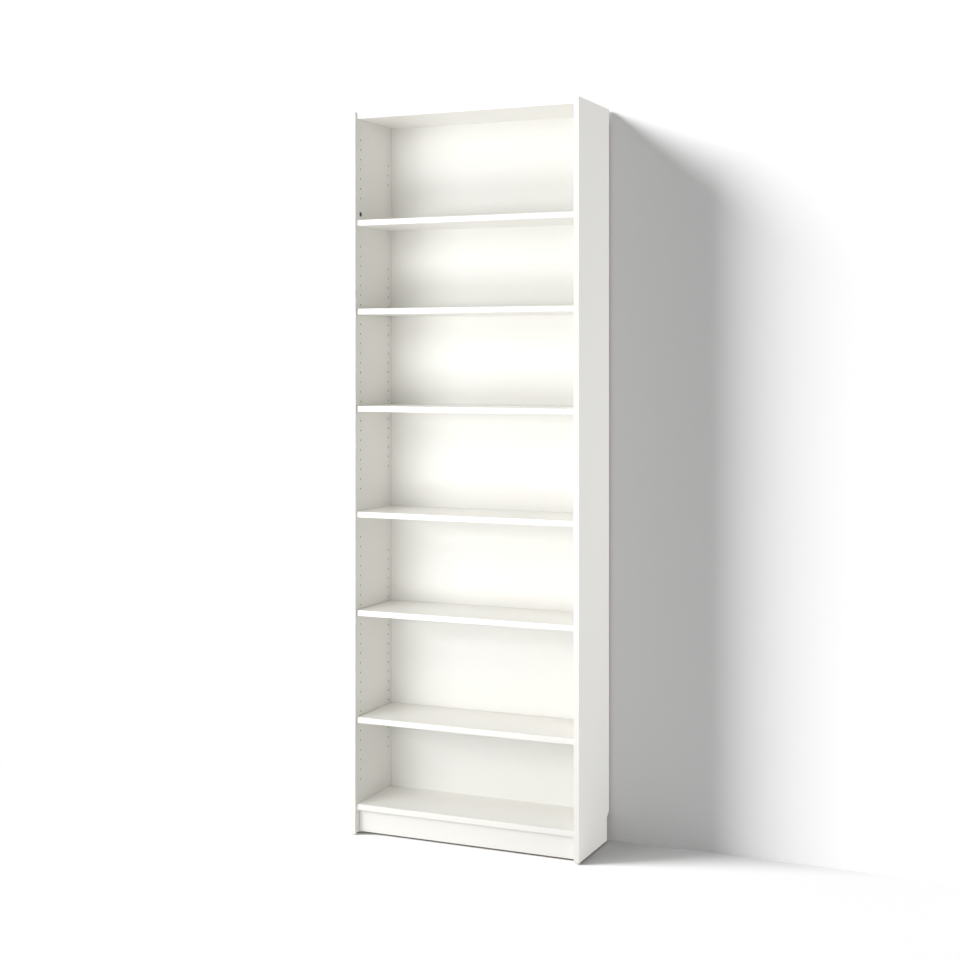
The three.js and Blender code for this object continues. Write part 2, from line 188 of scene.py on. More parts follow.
def uneven(noise, look):  # a look's roughness, varied evenly about its middle
    return look["roughness"] + (noise - 0.5) * look["uneven"]


foil = {
    "cool": (0.889, 0.882, 0.844),
    "warm": (0.902, 0.891, 0.848),
    "cloud": {"Scale": 2.2, "Detail": 3},
    "smear": {"Scale": 34, "Detail": 4, "Distortion": 0.3},
    "peel": {"Scale": 950},
    "peelDepth": 0.006 * mm,
    "roughness": 0.3,
    "uneven": 0.03,
}


def whiteFoil():
    finish = newFinish("white_foil")
    where = finish.place()
    cloud = finish.noise(where, foil["cloud"])
    smear = finish.noise(where, foil["smear"])
    peel = finish.noise(where, foil["peel"])
    colour = finish.mixed(cloud, foil["cool"], foil["warm"])
    return finish.coat(colour, uneven(smear, foil), peel, foil["peelDepth"])


lacquer = {
    "cool": (0.878, 0.873, 0.845),
    "warm": (0.890, 0.883, 0.849),
    "cloud": {"Scale": 3.1, "Detail": 3},
    "fibre": {"Detail": 3},
    "fibreScale": (260, 260, 90),
    "fibreDepth": 0.03 * mm,
    "roughness": 0.5,
    "uneven": 0.12,
}


def whiteLacquer():
    finish = newFinish("white_lacquer")
    cloud = finish.noise(finish.place(), lacquer["cloud"])
    fibre = finish.noise(finish.stretched(lacquer["fibreScale"]), lacquer["fibre"])
    colour = finish.mixed(cloud, lacquer["cool"], lacquer["warm"])
    return finish.coat(colour, uneven(fibre, lacquer), fibre, lacquer["fibreDepth"])


hardboard = {
    "dark": (0.215, 0.125, 0.068),
    "light": (0.36, 0.225, 0.13),
    "endShares": (0.35, 0.65),
    "fibre": {"Detail": 4, "Distortion": 0.6},
    "fibreScale": (700, 700, 240),
    "fibreShare": 0.7,
    "cloud": {"Scale": 9, "Detail": 3},
    "depth": 0.08 * mm,
    "roughness": 0.72,
    "uneven": 0.2,
}


def rawHardboard():
    finish = newFinish("raw_hardboard")
    fibre = finish.noise(finish.stretched(hardboard["fibreScale"]), hardboard["fibre"])
    cloud = finish.noise(finish.place(), hardboard["cloud"])
    share = fibre * hardboard["fibreShare"] + cloud * (1 - hardboard["fibreShare"])
    colour = finish.toned(share, hardboard)
    return finish.coat(colour, uneven(fibre, hardboard), fibre, hardboard["depth"])


chipboard = {
    "dark": (0.29, 0.195, 0.115),
    "light": (0.66, 0.50, 0.33),
    "endShares": (0.2, 0.8),
    "chipScale": (900, 700, 480),
    "chipSoftness": 0.35,
    "chipShare": 0.55,
    "dust": {"Scale": 1500},
    "depth": 0.15 * mm,
    "roughest": 0.85,
    "smoother": 0.15,
}


def rawChipboard():
    finish = newFinish("raw_chipboard")
    chips = finish.spotted(finish.stretched(chipboard["chipScale"]), chipboard["chipSoftness"])
    tone = finish.add("ShaderNodeSeparateColor", {}, {"Color": chips}, "Red")
    dust = finish.noise(finish.place(), chipboard["dust"])
    share = tone * chipboard["chipShare"] + dust * (1 - chipboard["chipShare"])
    roughness = chipboard["roughest"] - tone * chipboard["smoother"]
    return finish.coat(finish.toned(share, chipboard), roughness, share, chipboard["depth"])


# near-black tones: zinc darkened as painted shade, so that the cam faces look as dark as the shade in
# their bores
zinc = {
    "dark": (0.03, 0.03, 0.031),
    "light": (0.065, 0.065, 0.066),
    "endShares": (0.3, 0.7),
    "blotch": {"Scale": 260, "Detail": 4},
    "grain": {"Scale": 2400},
    "depth": 0.03 * mm,
    "roughness": 0.48,
    "uneven": 0.16,
    "metallic": 0.5,
}


# zinc darkened to near-black: painted shade of the cam bores, not the grey of bare zinc
def zincDarkenedForShade():
    finish = newFinish("zinc_darkened_for_shade")
    blotch = finish.noise(finish.place(), zinc["blotch"])
    grain = finish.noise(finish.place(), zinc["grain"])
    colour = finish.toned(blotch, zinc)
    roughness = uneven(blotch, zinc)
    return finish.coat(colour, roughness, grain, zinc["depth"], {"Metallic": zinc["metallic"]})


steel = {
    "dark": (0.46, 0.465, 0.475),
    "light": (0.68, 0.685, 0.69),
    "endShares": (0.3, 0.7),
    "drawn": {"Detail": 3},
    "drawScale": (300, 3200, 3200),
    "depth": 0.012 * mm,
    "smoothest": 0.24,
    "rougher": 0.16,
    "metallic": 1.0,
}


def platedSteel():
    finish = newFinish("plated_steel")
    drawn = finish.noise(finish.stretched(steel["drawScale"]), steel["drawn"])
    colour = finish.toned(drawn, steel)
    roughness = steel["smoothest"] + drawn * steel["rougher"]
    return finish.coat(colour, roughness, drawn, steel["depth"], {"Metallic": steel["metallic"]})


beech = {
    "dark": (0.43, 0.265, 0.14),
    "light": (0.68, 0.48, 0.29),
    "endShares": (0.38, 0.6),
    "grain": {"Detail": 4, "Distortion": 0.8},
    "grainScale": (90, 900, 900),
    "grainShare": 0.75,
    "fleck": {"Detail": 1},
    "fleckScale": (500, 2600, 2600),
    "depth": 0.05 * mm,
    "smoothest": 0.6,
    "rougher": 0.2,
}


def bareBeech():
    finish = newFinish("bare_beech")
    grain = finish.noise(finish.stretched(beech["grainScale"]), beech["grain"])
    fleck = finish.noise(finish.stretched(beech["fleckScale"]), beech["fleck"])
    share = grain * beech["grainShare"] + fleck * (1 - beech["grainShare"])
    roughness = beech["smoothest"] + grain * beech["rougher"]
    return finish.coat(finish.toned(share, beech), roughness, fleck, beech["depth"])


nylon = {
    "dark": (0.035, 0.033, 0.031),
    "light": (0.06, 0.057, 0.053),
    "endShares": (0.3, 0.7),
    "blotch": {"Scale": 180, "Detail": 3},
    "grain": {"Scale": 3000},
    "depth": 0.04 * mm,
    "roughness": 0.5,
    "uneven": 0.15,
}


def mouldedNylon():
    finish = newFinish("moulded_nylon")
    blotch = finish.noise(finish.place(), nylon["blotch"])
    grain = finish.noise(finish.place(), nylon["grain"])
    return finish.coat(finish.toned(blotch, nylon), uneven(blotch, nylon), grain, nylon["depth"])


boardCoat = [whiteFoil(), rawChipboard()]
backCoat = [whiteLacquer(), rawHardboard()]
zincCoat = [zincDarkenedForShade()]
steelCoat = [platedSteel()]
beechCoat = [bareBeech()]
nylonCoat = [mouldedNylon()]
bare = 1  # the second coat of a board or back: where it is cut or uncoated
print("finishes mixed")


# Shapes, in metres: built in the frame's axes, or about an axis of their own and then moved
overrun = 2 * mm  # how far a cutter stands out of what it cuts
rimReach = 0.02 * mm
weldGap = 0.001 * mm
alignment = {"flat": 0.999, "mostly": 0.9, "partly": 0.5}  # how closely a face looks along an axis
hands = [("left", -1), ("right", 1)]
roundSteps = {"hole": 28, "turned": 32, "cam": 64}
lengthwise = Matrix(((0, 0, 1, 0), (1, 0, 0, 0), (0, 1, 0, 0), (0, 0, 0, 1)))  # X, Y, Z go to Y, Z, X
cutUp = Matrix.Rotation(-math.pi / 2, 4, "Y")  # turns a cutter from +X to +Z
cutDown = Matrix.Rotation(math.pi / 2, 4, "Y")


def arc(centre, radius, start, end, steps):
    turn = math.radians(end - start) / steps
    angles = [math.radians(start) + turn * step for step in range(steps + 1)]
    return [(centre[0] + radius * math.cos(a), centre[1] + radius * math.sin(a)) for a in angles]


def pulled(outline, low, high, coat=0):  # an outline in X and Y, pulled up from low to high
    shape = bmesh.new()
    foot = [shape.verts.new((x, y, low)) for x, y in outline]
    head = [shape.verts.new((x, y, high)) for x, y in outline]
    shape.faces.new(list(reversed(foot)))
    shape.faces.new(head)
    for index in range(len(outline)):
        following = (index + 1) % len(outline)
        shape.faces.new((foot[index], foot[following], head[following], head[index]))
    bmesh.ops.recalc_face_normals(shape, faces=shape.faces)
    for face in shape.faces:
        face.material_index = coat
    return shape


def turned(profile, steps, radiusAt=None, coat=0):  # [along, radius] pairs turned about X
    shape = bmesh.new()
    rings = []
    for along, radius in profile:
        if radius == 0:
            rings.append([shape.verts.new((along, 0, 0))] * steps)
            continue
        ring = []
        for step in range(steps):
            angle = 2 * math.pi * step / steps
            reach = radiusAt(along, angle, radius) if radiusAt else radius
            ring.append(shape.verts.new((along, reach * math.cos(angle), reach * math.sin(angle))))
        rings.append(ring)
    for near, far in zip(rings, rings[1:]):
        for step in range(steps):
            following = (step + 1) % steps
            corners = [near[step], near[following], far[following], far[step]]
            kept = [corner for i, corner in enumerate(corners) if corner not in corners[:i]]
            if len(kept) > 2:
                shape.faces.new(kept)
    bmesh.ops.recalc_face_normals(shape, faces=shape.faces)
    for face in shape.faces:
        face.material_index = coat
        face.smooth = True
    return shape


def moved(shape, matrix):
    shape.transform(matrix)
    if matrix.determinant() < 0:
        bmesh.ops.reverse_faces(shape, faces=shape.faces)
    shape.normal_update()
    return shape


def shifted(shape, x, y, z):
    return moved(shape, Matrix.Translation((x, y, z)))


def gathered(shapes):  # several shapes as one
    whole = bmesh.new()
    for shape in shapes:
        mesh = bpy.data.meshes.new("part")
        shape.to_mesh(mesh)
        shape.free()
        whole.from_mesh(mesh)
        bpy.data.meshes.remove(mesh)
    return whole


def looseObject(name, shape, coats):
    mesh = bpy.data.meshes.new(name)
    shape.to_mesh(mesh)
    shape.free()
    for coat in coats:
        mesh.materials.append(coat)
    made = bpy.data.objects.new(name, mesh)
    bpy.context.collection.objects.link(made)
    return made


def carved(shape, coats, *groups):  # each group's cutters stay clear of one another
    blank = looseObject("blank", shape, coats)
    cutters = []
    for group in groups:
        cutter = looseObject("cutter", gathered(group), coats)
        cutters.append(cutter)
        cut = blank.modifiers.new("cut", "BOOLEAN")
        cut.operation = "DIFFERENCE"
        cut.solver = "EXACT"
        cut.object = cutter
    bpy.context.view_layer.update()
    result = bmesh.new()
    result.from_object(blank, bpy.context.evaluated_depsgraph_get())
    for used in [blank, *cutters]:
        mesh = used.data
        bpy.data.objects.remove(used)
        bpy.data.meshes.remove(mesh)
    bmesh.ops.remove_doubles(result, verts=result.verts, dist=weldGap)
    return result


def bareFaces(shape, isBare):  # gives the uncoated finish to the faces that a test picks
    for face in shape.faces:
        if isBare(face.normal, face.calc_center_median()):
            face.material_index = bare
    return shape


def roundsSmoothed(shape):  # shades eased edges and holes round, leaves what is square to an axis flat
    for face in shape.faces:
        face.smooth = max(abs(value) for value in face.normal) < alignment["flat"]
    return shape


def eased(shape, edges, width, segments=2):
    bmesh.ops.bevel(shape, geom=edges, offset=width, segments=segments, profile=0.5, affect="EDGES")
    return shape


def liesAt(edge, height):
    return all(abs(vertex.co.z - height) < rimReach for vertex in edge.verts)


def easeEnds(shape, width, low, high):  # breaks the sharp rims of both ends of a pulled shape
    rims = [edge for edge in shape.edges if liesAt(edge, low) or liesAt(edge, high)]
    return eased(shape, rims, width)


def joined(name, node, shape, coats, sharpAngle=None):  # a small piece on a CAD node's body
    piece = looseObject(name, shape, coats)
    if sharpAngle:
        piece.data.set_sharp_from_angle(angle=math.radians(sharpAngle))
    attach(piece, bodyOfNode[node])
    return piece


def fitted(node, shape, coats, sharpAngle=None):  # the finished piece that stands for a CAD node
    piece = joined(node + "_finished", node, shape, coats, sharpAngle)
    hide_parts(node)
    return piece


def standing(at, alongX, alongZ=(0, 0, 1)):  # takes a shape's origin and its X and Z axes to these
    x, z = Vector(alongX), Vector(alongZ)
    return Matrix.Translation(at) @ Matrix((x, z.cross(x), z)).transposed().to_4x4()


def outOf(hand):  # from the middle of the bookcase towards one of its sides
    return (hand, 0, 0)


# Sizes read from the frame
sideLow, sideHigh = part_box("lower_right_side")
glideHeight = 6 * mm
extensionSeam = 0.03 * mm
footOfSides = sideLow.z + glideHeight
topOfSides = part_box("upper_right_side")[1].z
extensionFoot = sideHigh.z + extensionSeam
backLow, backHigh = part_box("lower_back_panel")
innerFace = sideLow.x
sideThickness = sideHigh.x - sideLow.x
boardLow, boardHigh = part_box("bottom_board")
boardThickness = boardHigh.z - boardLow.z


def middleOf(node):
    low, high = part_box(node)
    return (low + high) / 2


frontRowY = middleOf("shelf_1_pin_front_right").y
rearRowY = middleOf("shelf_1_pin_rear_right").y


# Sides: an eased front edge, a groove for the back, rows of drilled pin holes, the skirting notch
side = {
    "frontEase": 1 * mm,
    "endEase": 0.08 * mm,
    "easeSteps": 5,
    "grooveGap": 0.25 * mm,
    "grooveDepth": 6 * mm,
    "notchDepth": 20.5 * mm,
    "notchHeight": 75 * mm,
    "notchRise": 17 * mm,
}
pinRows = {
    "pitch": 32 * mm,
    "lowest": footOfSides + 171 * mm,
    "margin": 60 * mm,
    "rearSkipped": 2,
    "slack": 0.001,
    "holeRadius": 2.5 * mm,
    "holeDepth": 10.5 * mm,
    "holeTip": 0.6 * mm,
    "rim": 0.3 * mm,
}


def sideBlank(low, high):  # a right-hand side, with its inner face at x = 0
    ease = side["frontEase"]
    steps = side["easeSteps"]
    grooveFront = backLow.y - side["grooveGap"]
    grooveRear = backHigh.y + side["grooveGap"]
    depth = side["grooveDepth"]
    outline = [(sideThickness, sideHigh.y), (0, sideHigh.y)]
    outline += [(0, grooveRear), (depth, grooveRear), (depth, grooveFront), (0, grooveFront)]
    outline += arc((ease, sideLow.y + ease), ease, 180, 270, steps)
    outline += arc((sideThickness - ease, sideLow.y + ease), ease, 270, 360, steps)
    return easeEnds(pulled(outline, low, high), side["endEase"], low, high)


def drilled(radius, depth, rim=0.0, tip=0.0):  # a hole's cutter, sunk along +X from x = 0
    mouth = [(-overrun, radius + rim + overrun), (rim, radius)] if rim else [(-overrun, radius)]
    profile = [(-overrun, 0), *mouth, (depth, radius), (depth + tip, 0)]
    return turned(profile, roundSteps["hole"], coat=bare)


def rowHeights(below, above, skipped):
    pitch, lowest, slack = pinRows["pitch"], pinRows["lowest"], pinRows["slack"]
    start = below + pinRows["margin"] + skipped * pitch
    end = above - pinRows["margin"] - skipped * pitch
    first = math.ceil((start - lowest) / pitch - slack)
    last = math.floor((end - lowest) / pitch + slack)
    return [lowest + row * pitch for row in range(first, last + 1)]


def pinHoles(heights):  # front and rear rows in each bay
    places = []
    for below, above in heights:
        places += [(frontRowY, z) for z in rowHeights(below, above, 0)]
        places += [(rearRowY, z) for z in rowHeights(below, above, pinRows["rearSkipped"])]
    cutter = drilled(pinRows["holeRadius"], pinRows["holeDepth"], pinRows["rim"], pinRows["holeTip"])
    return [shifted(cutter.copy(), 0, y, z) for y, z in places]


def skirtingNotch():
    front, rear = sideHigh.y - side["notchDepth"], sideHigh.y + overrun
    foot, top = footOfSides - overrun, footOfSides + side["notchHeight"]
    rise = side["notchRise"] + side["notchRise"] / side["notchDepth"] * overrun
    outline = [(front, foot), (rear, foot), (rear, top + rise), (front, top)]
    return moved(pulled(outline, -overrun, sideThickness + overrun, bare), lengthwise)


def bayBetween(below, above):
    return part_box(below)[1].z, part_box(above)[0].z


bays = {
    "lower": [bayBetween("bottom_board", "fixed_shelf"), bayBetween("fixed_shelf", "lower_top_board")],
    "upper": [bayBetween("lower_top_board", "upper_top_board")],
}
fixedBoards = {
    "lower": ["bottom_board", "fixed_shelf", "lower_top_board"],
    "upper": ["upper_top_board"],
}
joinery = {
    "boltHole": 2.85 * mm,
    "boltHoleDepth": 11.25 * mm,
    "dowelHole": 4.25 * mm,
    "dowelInSide": 12.25 * mm,
    "camBore": 7.75 * mm,
    "camBoreRim": 0.2 * mm,
    "camFloor": 4 * mm,
    "camReach": 18 * mm,
    "boltWay": 3.65 * mm,
    "dowelInBoard": 18.25 * mm,
}


def jointHoles(boards):  # a side's holes for the bolts and dowels of its boards
    holes = []
    for node in boards:
        boltY = middleOf(node + "_cam_right").y
        dowelY = middleOf(node + "_dowel_right").y
        height = middleOf(node).z
        holes.append(shifted(drilled(joinery["boltHole"], joinery["boltHoleDepth"]), 0, boltY, height))
        holes.append(shifted(drilled(joinery["dowelHole"], joinery["dowelInSide"]), 0, dowelY, height))
    return holes


def bareEdges(shape, rear, foot):  # a side's rear and bottom edges are left uncoated
    atRear = rear - overrun
    atFoot = foot + overrun
    bareFaces(shape, lambda normal, at: normal.y > alignment["mostly"] and at.y > atRear)
    return bareFaces(shape, lambda normal, at: normal.z < -alignment["partly"] and at.z < atFoot)


def lowerSideShape():
    top = sideHigh.z
    plinthMiddle = middleOf("plinth")
    cuts = [skirtingNotch(), *pinHoles(bays["lower"])]
    cuts += jointHoles(fixedBoards["lower"])
    cuts.append(shifted(drilled(joinery["dowelHole"], joinery["dowelInSide"]), 0, *plinthMiddle.yz))
    for radius, depth, y in [(joinery["boltHole"], joinery["boltHoleDepth"], frontRowY),
                             (joinery["dowelHole"], joinery["dowelInSide"], rearRowY)]:
        cuts.append(shifted(moved(drilled(radius, depth), cutDown), sideThickness / 2, y, top))
    shape = carved(sideBlank(footOfSides, top), boardCoat, cuts)
    return bareEdges(roundsSmoothed(shape), sideHigh.y - side["notchDepth"], footOfSides)


def upperSideShape():
    at = middleOf("extension_cam_right")
    bore = drilled(joinery["camBore"], sideThickness - joinery["camFloor"], joinery["camBoreRim"])
    boltWay = moved(drilled(joinery["boltWay"], at.z - extensionFoot), cutUp)
    cuts = [shifted(bore, 0, at.y, at.z), *pinHoles(bays["upper"]), *jointHoles(fixedBoards["upper"])]
    pegHole = moved(drilled(joinery["dowelHole"], joinery["dowelInBoard"]), cutUp)
    cuts.append(shifted(pegHole, sideThickness / 2, rearRowY, extensionFoot))
    ways = [shifted(boltWay, sideThickness / 2, at.y, extensionFoot)]
    shape = carved(sideBlank(extensionFoot, topOfSides), boardCoat, cuts, ways)
    return bareEdges(roundsSmoothed(shape), sideHigh.y, extensionFoot)


def placeSides(level, shape):
    for name, hand in hands:
        toPlace = Matrix.Translation((hand * innerFace, 0, 0)) @ Matrix.Diagonal((hand, 1, 1, 1))
        fitted(level + "_" + name + "_side", moved(shape.copy(), toPlace), boardCoat)
    shape.free()


placeSides("lower", lowerSideShape())
placeSides("upper", upperSideShape())
print("sides drilled and placed")


# Boards: eased front edges, bare ends and rear edges, bores for the cam locks on the hidden face
board = {
    "frontEase": 1 * mm,
    "frontSteps": 5,
    "rearEase": 0.3 * mm,
    "rearSteps": 2,
    "endEase": 0.3 * mm,
    "looseShelves": 4,
}
camFaces = {"bottom_board": -1, "fixed_shelf": -1, "lower_top_board": 1, "upper_top_board": 1}


def camFaceHeight(node):
    low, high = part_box(node)
    return high.z if camFaces[node] > 0 else low.z


def boardBlank(node):
    low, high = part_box(node)
    front, frontSteps = board["frontEase"], board["frontSteps"]
    rear, rearSteps = board["rearEase"], board["rearSteps"]
    outline = arc((low.y + front, low.z + front), front, 180, 270, frontSteps)
    outline += arc((high.y - rear, low.z + rear), rear, 270, 360, rearSteps)
    outline += arc((high.y - rear, high.z - rear), rear, 0, 90, rearSteps)
    outline += arc((low.y + front, high.z - front), front, 90, 180, frontSteps)
    shape = easeEnds(pulled(outline, low.x, high.x), board["endEase"], low.x, high.x)
    return moved(shape, lengthwise)


def bareEnds(shape):
    return bareFaces(shape, lambda normal, at: max(normal.y, abs(normal.x)) > alignment["mostly"])


def boardBores(node):
    low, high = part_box(node)
    sink = cutDown if camFaces[node] > 0 else cutUp
    boreDepth = high.z - low.z - joinery["camFloor"]
    bores, ways = [], []
    for name, hand in hands:
        at = middleOf(node + "_cam_" + name)
        dowelY = middleOf(node + "_dowel_" + name).y
        inward = Matrix.Rotation(math.pi, 4, "Z") if hand > 0 else Matrix.Identity(4)
        bore = drilled(joinery["camBore"], boreDepth, joinery["camBoreRim"])
        bores.append(shifted(moved(bore, sink), at.x, at.y, camFaceHeight(node)))
        for radius, depth, y in [(joinery["boltWay"], joinery["camReach"], at.y),
                                 (joinery["dowelHole"], joinery["dowelInBoard"], dowelY)]:
            way = moved(drilled(radius, depth), inward)
            ways.append(shifted(way, high.x if hand > 0 else low.x, y, middleOf(node).z))
    return bores, ways


def placeBoards():
    for node in camFaces:
        shape = carved(bareEnds(boardBlank(node)), boardCoat, *boardBores(node))
        fitted(node, roundsSmoothed(shape), boardCoat)
    for number in range(board["looseShelves"]):
        node = "shelf_" + str(number + 1)
        fitted(node, roundsSmoothed(bareEnds(boardBlank(node))), boardCoat)


placeBoards()
print("boards placed")


# Plinth: a board on edge under the bottom board
plinth = {"ease": 0.5 * mm, "easeSteps": 3, "length": 2 * boardHigh.x}


def placePlinth():
    low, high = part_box("plinth")
    half = plinth["length"] / 2
    shape = pulled([(-half, low.y), (half, low.y), (half, high.y), (-half, high.y)], low.z, high.z)
    eased(shape, shape.edges[:], plinth["ease"], plinth["easeSteps"])
    bareFaces(shape, lambda normal, at: max(abs(normal.x), -normal.z) > alignment["mostly"])
    middle = middleOf("plinth")
    holes = []
    for hand in (-1, 1):
        hole = drilled(joinery["dowelHole"], joinery["dowelInBoard"])
        holes.append(moved(hole, standing((hand * half, middle.y, middle.z), outOf(-hand))))
    fitted("plinth", carved(shape, boardCoat, holes), boardCoat)


placePlinth()


# Backs: lacquered in front and bare behind, with scored fold lines grooved into the rear face
back = {"ease": 0.3 * mm, "foldWidth": 1.5 * mm, "foldDepth": 1.2 * mm, "leaves": 3, "seam": 0.05 * mm}


def placeBack(node, foot):
    low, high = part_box(node)
    half = high.x
    ease = back["ease"]
    outline = [(-half, low.y + ease), (-half + ease, low.y), (half - ease, low.y), (half, low.y + ease)]
    outline += [(half, high.y - ease), (half - ease, high.y)]
    for fold in range(back["leaves"] - 1, 0, -1):
        x = half * (2 * fold / back["leaves"] - 1)
        outline += [(x + back["foldWidth"] / 2, high.y), (x, high.y - back["foldDepth"])]
        outline += [(x - back["foldWidth"] / 2, high.y)]
    outline += [(-half + ease, high.y), (-half, high.y - ease)]
    shape = bareFaces(pulled(outline, foot, high.z), lambda normal, at: normal.y > -alignment["partly"])
    fitted(node, shape, backCoat)


placeBack("lower_back_panel", backLow.z)
placeBack("upper_back_panel", backHigh.z + back["seam"])
print("plinth and backs placed")


# Cam locks: turned bodies, a channel wound in behind the rim, a driver cross and an arrow in the face
cam = {
    "radius": 7.5 * mm,
    "gap": 0.25 * mm,
    "rim": 0.3 * mm,
    "coreRadius": 2.7 * mm,
    "lockedRadius": 6.4 * mm,
    "openRadius": 6.9 * mm,
    "turn": 150,
    "headAngle": 56,
    "neckAngle": 26,
    "headSpace": 7.3 * mm,
    "neckSpace": 4.5 * mm,
    "crossLength": 8 * mm,
    "crossWidth": 1.4 * mm,
    "crossDepth": 2.5 * mm,
    "crossTaper": 0.8,
    "arrowTip": 6.4 * mm,
    "arrowFoot": 5.1 * mm,
    "arrowHalf": 0.8 * mm,
    "arrowDepth": 0.35 * mm,
    "steps": 28,
    "sharp": 30,
}


def sector(outerAt, angle, height):  # a ring sector about Z, from the locked end to the entry
    turn = cam["turn"] + 2 * angle
    steps = cam["steps"]
    rim = []
    for step in range(steps + 1):
        at = -angle + turn * step / steps
        reach = outerAt(min(max(at / cam["turn"], 0), 1))
        rim.append((reach * math.cos(math.radians(at)), reach * math.sin(math.radians(at))))
    core = arc((0, 0), cam["coreRadius"], cam["turn"] + angle, -angle, steps)
    return pulled(rim + core, -height / 2, height / 2)


def crossOutline(length, width):
    long, thin = length / 2, width / 2
    corners = [(long, -thin), (long, thin), (thin, thin)]
    turns = [Matrix.Rotation(quarter * math.pi / 2, 2) for quarter in range(4)]
    return [tuple(turn @ Vector(corner)) for turn in turns for corner in corners]


def driverCross(owner):  # sunk below z = 0, narrower at its floor
    outline = crossOutline(owner["crossLength"], owner["crossWidth"])
    shape = pulled(outline, -owner["crossDepth"], overrun)
    for vertex in shape.verts:
        if vertex.co.z < 0:
            vertex.co.xy *= owner["crossTaper"]
    return shape


def channelReach(share):  # the channel's radius, from locked to open
    return cam["lockedRadius"] + (cam["openRadius"] - cam["lockedRadius"]) * share


def slotReach(share):  # the slot breaks through the rim all the way
    return cam["radius"] + overrun


def camShape(thickness):  # +Z out of the panel's face, +X towards the bolt
    radius, rim, gap = cam["radius"], cam["rim"], cam["gap"]
    bottom = thickness - joinery["camFloor"] - gap
    profile = [(-bottom, 0), (-bottom, radius - rim), (rim - bottom, radius), (-gap - rim, radius)]
    profile += [(-gap, radius - rim), (-gap, 0)]
    body = moved(turned(profile, roundSteps["cam"]), cutUp)
    atBolt = Matrix.Translation((0, 0, -thickness / 2))
    channel = moved(sector(channelReach, cam["headAngle"], cam["headSpace"]), atBolt)
    slot = moved(sector(slotReach, cam["neckAngle"], cam["neckSpace"]), atBolt)
    core, way, outside = cam["coreRadius"], joinery["boltWay"], radius + overrun
    entry = turned([(core, 0), (core, way), (outside, way), (outside, 0)], roundSteps["hole"])
    entry = moved(entry, atBolt @ Matrix.Rotation(math.radians(cam["turn"]), 4, "Z"))
    cross = driverCross(cam)
    cross = shifted(moved(cross, Matrix.Rotation(math.pi / 4, 4, "Z")), 0, 0, -gap)
    foot, half = cam["arrowFoot"], cam["arrowHalf"]
    outline = [(cam["arrowTip"], 0), (foot, half), (foot, -half)]
    arrow = pulled(outline, -gap - cam["arrowDepth"], overrun)
    return carved(body, zincCoat, [channel], [slot], [entry], [cross, arrow])


# Bolts for the cam locks: a rolled thread, a shaft, a neck, and a head with its own driver cross
bolt = {
    "threadLength": 11 * mm,
    "crest": 2.6 * mm,
    "root": 1.95 * mm,
    "pitch": 1.8 * mm,
    "ringsToPitch": 8,
    "crestShare": 0.25,
    "fade": 1.2 * mm,
    "tip": 1.4 * mm,
    "tipShare": 0.45,
    "shaftRadius": 3.2 * mm,
    "shaftEnd": 10 * mm,
    "neckRadius": 2 * mm,
    "headStart": 13 * mm,
    "headRadius": 3.4 * mm,
    "headLength": 2 * mm,
    "ease": 0.25 * mm,
    "crossLength": 4 * mm,
    "crossWidth": 0.9 * mm,
    "crossDepth": 1.3 * mm,
    "crossTaper": 0.7,
    "sharp": 40,
}


def threadRadius(along, angle, radius):
    if along >= 0:
        return radius
    phase = (along / bolt["pitch"] - angle / (2 * math.pi)) % 1
    crest = max(0, 1 - abs(phase - 0.5) / bolt["crestShare"])
    fromTip = along + bolt["threadLength"]
    shown = min(1, max(0, min(-along, fromTip)) / bolt["fade"])
    narrowing = min(1, bolt["tipShare"] + (1 - bolt["tipShare"]) * fromTip / bolt["tip"])
    return (bolt["root"] + (bolt["crest"] - bolt["root"]) * crest * shown) * narrowing


def boltShape():
    ease = bolt["ease"]
    step = bolt["pitch"] / bolt["ringsToPitch"]
    rings = round(bolt["threadLength"] / step)
    shaft, shaftEnd, neck = bolt["shaftRadius"], bolt["shaftEnd"], bolt["neckRadius"]
    head, headStart = bolt["headRadius"], bolt["headStart"]
    headEnd = headStart + bolt["headLength"]
    profile = [(-bolt["threadLength"], 0)]
    profile += [(-bolt["threadLength"] + step * ring, bolt["root"]) for ring in range(rings)]
    profile += [(0, bolt["root"]), (0, shaft - ease), (ease, shaft)]
    profile += [(shaftEnd - ease, shaft), (shaftEnd, shaft - ease), (shaftEnd, neck), (headStart, neck)]
    profile += [(headStart, head - ease), (headStart + ease, head)]
    profile += [(headEnd - ease, head), (headEnd, head - ease), (headEnd, 0)]
    body = turned(profile, roundSteps["turned"], threadRadius)
    return carved(body, steelCoat, [shifted(moved(driverCross(bolt), cutDown), headEnd, 0, 0)])


def rodProfile(radius, chamfer, before, after):  # a rod with chamfered ends, before and after x = 0
    profile = [(-before, 0), (-before, radius - chamfer), (chamfer - before, radius)]
    return profile + [(after - chamfer, radius), (after, radius - chamfer), (after, 0)]


# Fluted dowels, 12 mm in the side and the rest in the board
dowel = {
    "radius": 4 * mm,
    "outer": 12 * mm,
    "inner": 17.75 * mm,
    "chamfer": 1 * mm,
    "flutes": 24,
    "fluteDepth": 0.3 * mm,
    "stepsToFlute": 4,
}


def flutedRadius(along, angle, radius):
    return radius - dowel["fluteDepth"] * (1 - math.cos(dowel["flutes"] * angle)) / 2


def dowelShape():
    profile = rodProfile(dowel["radius"], dowel["chamfer"], dowel["outer"], dowel["inner"])
    return turned(profile, dowel["flutes"] * dowel["stepsToFlute"], flutedRadius)


# Shelf pins: a stem in the side's hole, a round shoulder, a tongue cut flat for the shelf to lie on
pin = {
    "radius": 2.25 * mm,
    "depth": 10 * mm,
    "reach": 11 * mm,
    "shoulder": 1.5 * mm,
    "chamfer": 0.5 * mm,
    "flat": -1.25 * mm,
    "sharp": 35,
}


